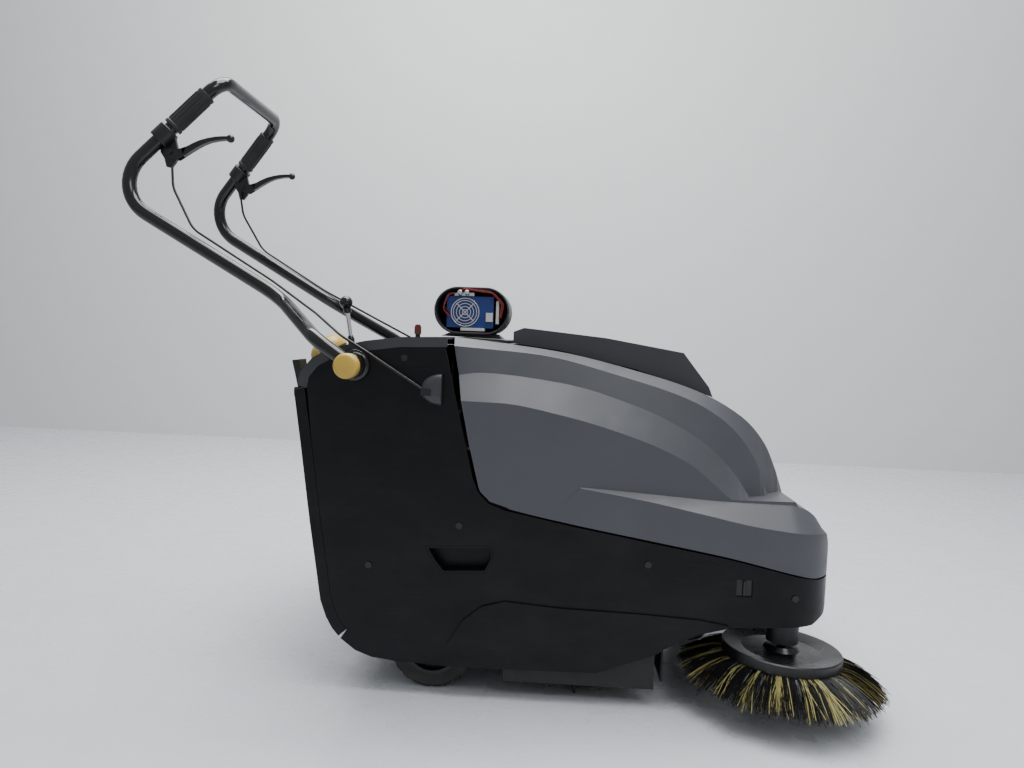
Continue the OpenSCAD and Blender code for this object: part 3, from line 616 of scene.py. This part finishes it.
# ---- grips, clamps and brake levers ----
LEVER_AT = Vector((-648, -176, 996))
GRIP_FROM, CLAMP_FROM = 0.56, 0.44      # shares of the upper tube
GRIP_LONG, CLAMP_LONG = 0.3 * upper.length, 0.1 * upper.length
grips = Batch()
clamps = Batch()
for side in (-1, 1):
    grips.add(revolve([(13.6, 0), (17.6, 0), (18.6, 1.5), (18.6, 6), (17, 8),
                       (17, GRIP_LONG - 8), (18, GRIP_LONG - 5), (17.6, GRIP_LONG),
                       (13.6, GRIP_LONG)], on_upper(GRIP_FROM, side), 48))
    for k in range(14):
        turn = Matrix.Rotation(2 * math.pi * k / 14, 4, "Z")
        rib = [on_upper(GRIP_FROM, side) @ turn @ Vector((17.0, 0, h))
               for h in (10, GRIP_LONG - 10)]
        grips.add(tube(rib, 1.1, 8))
    clamps.add(revolve([(13.6, 0), (19, 0), (20.4, 1.6), (20.4, CLAMP_LONG - 1.6),
                        (19, CLAMP_LONG), (13.6, CLAMP_LONG)],
                       on_upper(CLAMP_FROM, side), 48))
    ear = [(-668, 1020), (-652, 1029), (-640, 1030), (-634, 1004), (-632, 992), (-637, 978),
           (-646, 966), (-656, 968), (-660, 984), (-668, 996)]
    y0, y1 = sorted((-side * (LEVER_AT.y - 4), -side * (LEVER_AT.y + 4)))
    clamps.add(prism(ear, y0, y1))
    for y in (-10.2, 9):
        clamps.add(revolve([(0, 0), (5, 0), (5, 1.2), (0, 1.2)],
                           turned((LEVER_AT.x, -side * LEVER_AT.y + y, LEVER_AT.z), (0, 1, 0)), 24))
bevel(grips.build("grips", [RUBBER], "handle", stands_for=("handle_grips",),
                  slot="rubber_black"), 0.6, 2)
bevel(clamps.build("lever_brackets", [CONTROL], "handle", stands_for=("lever_clamps",),
                   slot="control_black"), 1.2, 3)

# outline of a brake lever from its pivot, as (x, z); it forks up to FORK_TO
BLADE = [(-4, -9), (6, -13), (16, -14.5), (27, -7.5), (40, 1), (54, 9.5), (66, 16),
         (80, 21.5), (95, 24.6), (110, 26.4), (121, 26.8), (125, 29.5), (121, 33),
         (106, 33), (92, 32), (76, 29), (60, 24.5), (46, 18.5), (34, 12), (22, 8),
         (12, 6), (0, 8)]
FORK_TO, SOLID_FROM, BLADE_HALF = 34, 22, 7
for side, where in ((-1, "right"), (1, "left")):
    lever = Batch()
    mid = -side * LEVER_AT.y
    fork = [(LEVER_AT.x + x, LEVER_AT.z + z) for x, z in BLADE if x <= FORK_TO]
    for low, high in ((-BLADE_HALF, -4.7), (4.7, BLADE_HALF)):
        lever.add(prism(fork, mid + low, mid + high))
    solid = [(LEVER_AT.x + x, LEVER_AT.z + z) for x, z in BLADE if x >= SOLID_FROM]
    lever.add(prism(solid, mid - BLADE_HALF, mid + BLADE_HALF))
    ball = [(8 * math.sin(math.pi * k / 12), -8 * math.cos(math.pi * k / 12)) for k in range(13)]
    lever.add(revolve(ball, turned((LEVER_AT.x + 119, mid, LEVER_AT.z + 29.5), (0, 1, 0)), 32))
    bevel(lever.build("lever_" + where + "_blade", [CONTROL], "lever_" + where,
                      stands_for=("brake_lever_" + where,), slot="control_black"), 1.6, 3)

# ---- clamp knobs and their seats ----
KNOB_Y = 357            # inner face of a knob
for side, where in ((-1, "right"), (1, "left")):
    out = turned((HINGE_X, side * KNOB_Y, HINGE_Z), (0, side, 0))
    cap = [(8.2, 0), (16, 0), (20.6, 1.4), (21.8, 3), (22.2, 6), (22.2, 17.5), (21.4, 20.4),
           (19.4, 22.6), (16, 23.8), (10, 24.4), (0, 24.6)]
    piece("knob_cap_" + where, *revolve(cap, out, 96), YELLOW, "knob_" + where,
          stands_for=("clamp_knob_" + where,), slot="signal_yellow", sharp=35)
seats = Batch()
for side in (-1, 1):
    out = turned((HINGE_X, side * BODY_HALF, HINGE_Z), (0, side, 0))
    seats.add(revolve([(0, -1), (29, -1), (29, 6), (27.6, 8.4), (24.5, 9.4),
                       (22.5, 12), (0, 12)], out, 96))
    seats.add(revolve([(0, 12), (8, 12), (8, 58), (0, 58)], out, 32))
seats.build("handle_seats", [GLOSS], "chassis", stands_for=("handle_brackets",),
            slot="gloss_black")

# ---- controls on the console ----
BALL_X, BALL_Y, BALL_Z = -260.0, -225.0, 590.0
rod_up = (Matrix.Translation(Vector((BALL_X, BALL_Y, BALL_Z)))
          @ Matrix.Rotation(math.radians(-9), 4, "Y"))
lift = Batch()
lift.add(revolve([(0, -6), (4, -6), (4, 116), (0, 116)], rod_up, 32), 0)
lift.add(revolve([(12.4 * math.sin(math.pi * k / 16), 124 - 12.4 * math.cos(math.pi * k / 16))
                  for k in range(17)], rod_up, 48), 1)
lift.add(revolve([(4.1, 103), (6, 103), (7.4, 106), (7.8, 113), (4.1, 113)], rod_up, 32), 1)
lift.add(revolve([(4.1, 44), (6.2, 44), (6.8, 52), (5.2, 60), (4.1, 61)], rod_up, 32), 1)
lift.build("lift_lever", [CHROME, GLOSS], "ball_lever", stands_for=("ball_lever",),
           slot="chrome_rod")

SHAKE = (Matrix.Translation(Vector((-318, -160, 604)))
         @ Matrix.Rotation(math.radians(-40), 4, "Y"))
shaker = Batch()
shaker.add(revolve([(0, -30), (6, -30), (6, 9), (0, 9)], SHAKE, 32), 1)
shaker.add(revolve([(0, 8), (33, 8), (36.6, 9.4), (38, 12), (38, 21), (37, 25.5),
                    (34, 31.5), (29, 37), (22, 41), (12, 43.8), (0, 44.5)], SHAKE, 96), 0)
shaker.build("shaker_cap", [YELLOW, CONTROL], "shaker", stands_for=("shaker_knob",),
             slot="signal_yellow")

key = Batch()
key.add(revolve([(0, 642), (5, 642), (5, 658), (0, 658)],
                Matrix.Translation(Vector((-163, -100, 0))), 32), 1)
key.add(prism([(-170, 657), (-156, 657), (-156, 672), (-158.5, 677), (-167.5, 677),
               (-170, 672)], -102, -98), 0)
bevel(key.build("key", [KEY, CONTROL], "key", stands_for=("start_key",),
                slot="key_red"), 0.8, 2)

# ---- charger under its oval shroud ----
POD_X, POD_Z, POD_W, POD_H = -48.0, 707.0, 150.0, 94.0


def oval(width, height, steps=20):
    """Outline of an oval with round ends, as (x, z)."""
    r, half = height / 2, (width - height) / 2
    out = []
    for s, base in ((1, -90), (-1, 90)):
        for k in range(steps + 1):
            turn = math.radians(base + 180 * k / steps)
            out.append((POD_X + s * half + r * math.cos(turn), POD_Z + r * math.sin(turn)))
    return out


# how much smaller the oval gets, and where along y: out along its wall and back inside
POD_STEPS = [(4, -40), (0, -44), (0, -147.5), (2, -150), (6, -150), (9, -147), (10, -44)]
rings = [(oval(POD_W - less, POD_H - less), y) for less, y in POD_STEPS]
pod = Batch()
count = len(rings[0][0])
pod_points = [Vector((x, y, z)) for outline, y in rings for x, z in outline]
pod_faces = []
for i in range(len(rings) - 1):
    for k in range(count):
        a, b, q = i * count, (i + 1) * count, (k + 1) % count
        pod_faces.append((a + k, a + q, b + q, b + k))
pod_faces.append(tuple(reversed(range(count))))
pod_faces.append(tuple((len(rings) - 1) * count + k for k in range(count)))
pod.add((pod_points, pod_faces))
pod.add(prism([(-110, 655.5), (14, 652.5), (2, 662), (-95, 662)], -130, -50))
pod.build("pod_shroud", [TRAY], "chassis", stands_for=("charger_pod",),
          slot="body_black", sharp=45)

unit = Batch()          # kinds: 0 case, 1 wire grille, 2 connectors, 3 red, 4 black
unit.add(cuboid((-99, -138, 673), (-5, -48, 736)), 0)
unit.add(cuboid((-84, -143, 736), (-44, -112, 743)), 1)
for x in (-72, -58):
    unit.add(revolve([(0, 0), (4.6, 0), (4.6, 12), (3.6, 13), (0, 13)],
                     turned((x, -143, 740), (0, -0.4, 0.1)), 20), 1)
unit.add(cuboid((0, -142, 682), (6, -104, 728)), 2)
unit.add(cuboid((-20, -142, 686), (-6, -137, 704)), 2)
unit.add(cuboid((-70, -142, 667), (-22, -100, 673)), 2)
for kind, spread in ((3, 0), (4, 3.4), (3, 6.8)):
    route = rounded([((-72 + spread, -146, 745), 0),
                     ((-66 + spread, -149.5, 750.5 - spread * 0.3), 6),
                     ((-12 + spread, -147, 747 - spread * 0.6), 12),
                     ((12 + spread * 0.5, -145, 722), 10),
                     ((8 + spread * 0.3, -143, 694), 0)], 8)
    unit.add(tube(route, 1.5, 10), kind)
for k, kind in enumerate((4, 3)):
    route = rounded([((-92, -141, 700 - 6 * k), 0), ((-106, -146, 716 - 7 * k), 10),
                     ((-96, -146, 742 - 4 * k), 10), ((-80, -143, 742), 0)], 8)
    unit.add(tube(route, 1.5, 10), kind)
unit.add(revolve([(26.5, 0), (29, 0), (29, 1.6), (26.5, 1.6)],
                 turned((-62, -138.2, 704), (0, -1, 0)), 64, loop=True), 1)
bevel(unit.build("charger_box", [BLUE, WIRE, PALE, RED, CONTROL], "chassis",
                 stands_for=("charger_unit",), slot="charger_blue"), 0.9, 2)

# ---- cable outlets: half-round bulges that carry the hood's arch on to the side wall ----
OUTLET_X, OUTLET_Z, OUTLET_R = -78, 560, 28
LEVELS = ((1.0, 0), (1.0, 5), (0.95, 9), (0.84, 12.2), (0.66, 14), (0.4, 14.8))
outlets = Batch()
for side in (-1, 1):
    outline = [(OUTLET_R * math.sin(math.pi * k / 24), OUTLET_R * math.cos(math.pi * k / 24))
               for k in range(25)]
    base = [Vector((OUTLET_X - x * f * 1.35, side * (BODY_HALF + 0.2 + h), OUTLET_Z + z * f))
            for f, h in LEVELS for x, z in outline]
    n = len(outline)
    skin = [(i * n + k, i * n + k + 1, (i + 1) * n + k + 1, (i + 1) * n + k)
            for i in range(len(LEVELS) - 1) for k in range(n - 1)]
    starts = [i * n for i in range(len(LEVELS))]
    ends = [i * n + n - 1 for i in reversed(range(len(LEVELS)))]
    skin.append(tuple(reversed(starts + ends)))
    skin.append(tuple(reversed(range((len(LEVELS) - 1) * n, len(LEVELS) * n))))
    skin.append(tuple(range(n)))
    if side > 0:
        skin = [tuple(reversed(f)) for f in skin]
    outlets.add((base, skin))
    y0, y1 = sorted((side * (BODY_HALF + 14.5), side * (BODY_HALF + 15.4)))
    outlets.add(cuboid((-114, y0, 549), (-96, y1, 561)), 1)
outlets.build("outlet_bulges", [TRIM, CONTROL], "chassis", stands_for=("cable_outlets",),
              slot="trim_grey", sharp=40)

# ---- brake cables: they run down along the handle and curve towards the body ----
CABLE = [((-652, -165, 985), 0), ((-646, -172, 930), 60), ((-600, -182, 848), 60),
         ((-440, -180, 752), 60), ((-330, -250, 690), 60), ((-262, -319, 650), 40),
         ((-212, -326, 622), 30), ((-104, -322.5, 555), 0)]
CABLE_STEP, CABLE_R = 12, 2.5
cables = Batch()
for side in (-1, 1):
    route = rounded([((p[0], -side * p[1], p[2]), r) for p, r in CABLE], 10)
    fine = []
    for a, b in zip(route, route[1:]):
        parts = max(1, round((b - a).length / CABLE_STEP))
        fine += [a.lerp(b, k / parts) for k in range(parts)]
    cables.add(tube(fine + [route[-1]], CABLE_R, 12))
cable_piece = cables.build("brake_cables", [CONTROL], None, stands_for=("handle_cables",),
                           slot="control_black")
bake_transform(cable_piece)

# ---- floor, light and camera ----
def backdrop(name, corners, mat):
    """One face of the studio, from its corners in metres."""
    data = bpy.data.meshes.new(name)
    data.from_pydata(corners, [], [(0, 1, 2, 3)])
    data.materials.append(mat)
    obj = bpy.data.objects.new(name, data)
    bpy.context.scene.collection.objects.link(obj)
    return obj


FLOOR = plastic("floor_pale", (0.56, 0.58, 0.62), (0.5, 0.52, 0.56), 0.28, 0.05)
floor_obj = backdrop("floor", [(-12, -9, 0), (12, -9, 0), (12, 12, 0), (-12, 12, 0)], FLOOR)
WALL = plastic("wall_pale", (0.6, 0.61, 0.61), (0.56, 0.57, 0.575), 0.5, 0.02)
wall_obj = backdrop("wall", [(-14, 3.2, -0.01), (14, 2.4, -0.01), (14, 2.4, 7),
                             (-14, 3.2, 7)], WALL)

world = bpy.data.worlds.new("studio")
bpy.context.scene.world = world
world.use_nodes = True
world.node_tree.nodes["Background"].inputs[0].default_value = (0.78, 0.8, 0.82, 1)
world.node_tree.nodes["Background"].inputs[1].default_value = 0.62


def softbox(name, where, look, size, power):
    """A rectangular light at where that faces look, both in metres."""
    data = bpy.data.lights.new(name, "AREA")
    data.shape = "RECTANGLE"
    data.size, data.size_y = size
    data.energy = power
    obj = bpy.data.objects.new(name, data)
    obj.location = where
    obj.rotation_euler = (Vector(look) - Vector(where)).to_track_quat("-Z", "Y").to_euler()
    bpy.context.scene.collection.objects.link(obj)


softbox("top_light", (0.1, 0.1, 3.4), (0, 0, 0.3), (3.4, 1.8), 190)
softbox("front_light", (1.6, -2.4, 3.0), (0.1, 0, 0.5), (1.4, 1.0), 26)
softbox("wall_light", (0, 1.0, 4.2), (0, 3.2, 1.0), (6, 0.8), 130)

YAW, PITCH, ROLL = (math.radians(v) for v in (3.1, 3.5, 2.0))
CAMERA_AT = (120, -1675, 658)       # in the machine's millimetres
LENS, SENSOR = 27.07, 36
forward = Vector((-math.sin(YAW) * math.cos(PITCH), math.cos(YAW) * math.cos(PITCH),
                  -math.sin(PITCH)))
right = Vector((math.cos(YAW), math.sin(YAW), 0))
up = right.cross(forward)
level_right = right * math.cos(ROLL) + up * math.sin(ROLL)
level_up = -right * math.sin(ROLL) + up * math.cos(ROLL)
camera_data = bpy.data.cameras.new("camera")
camera_data.lens = LENS
camera_data.sensor_width = SENSOR
camera = bpy.data.objects.new("camera", camera_data)
bpy.context.scene.collection.objects.link(camera)
camera.matrix_world = Matrix.Translation(place(*CAMERA_AT)) @ Matrix(
    (level_right, level_up, -forward)).transposed().to_4x4()
bpy.context.scene.camera = camera
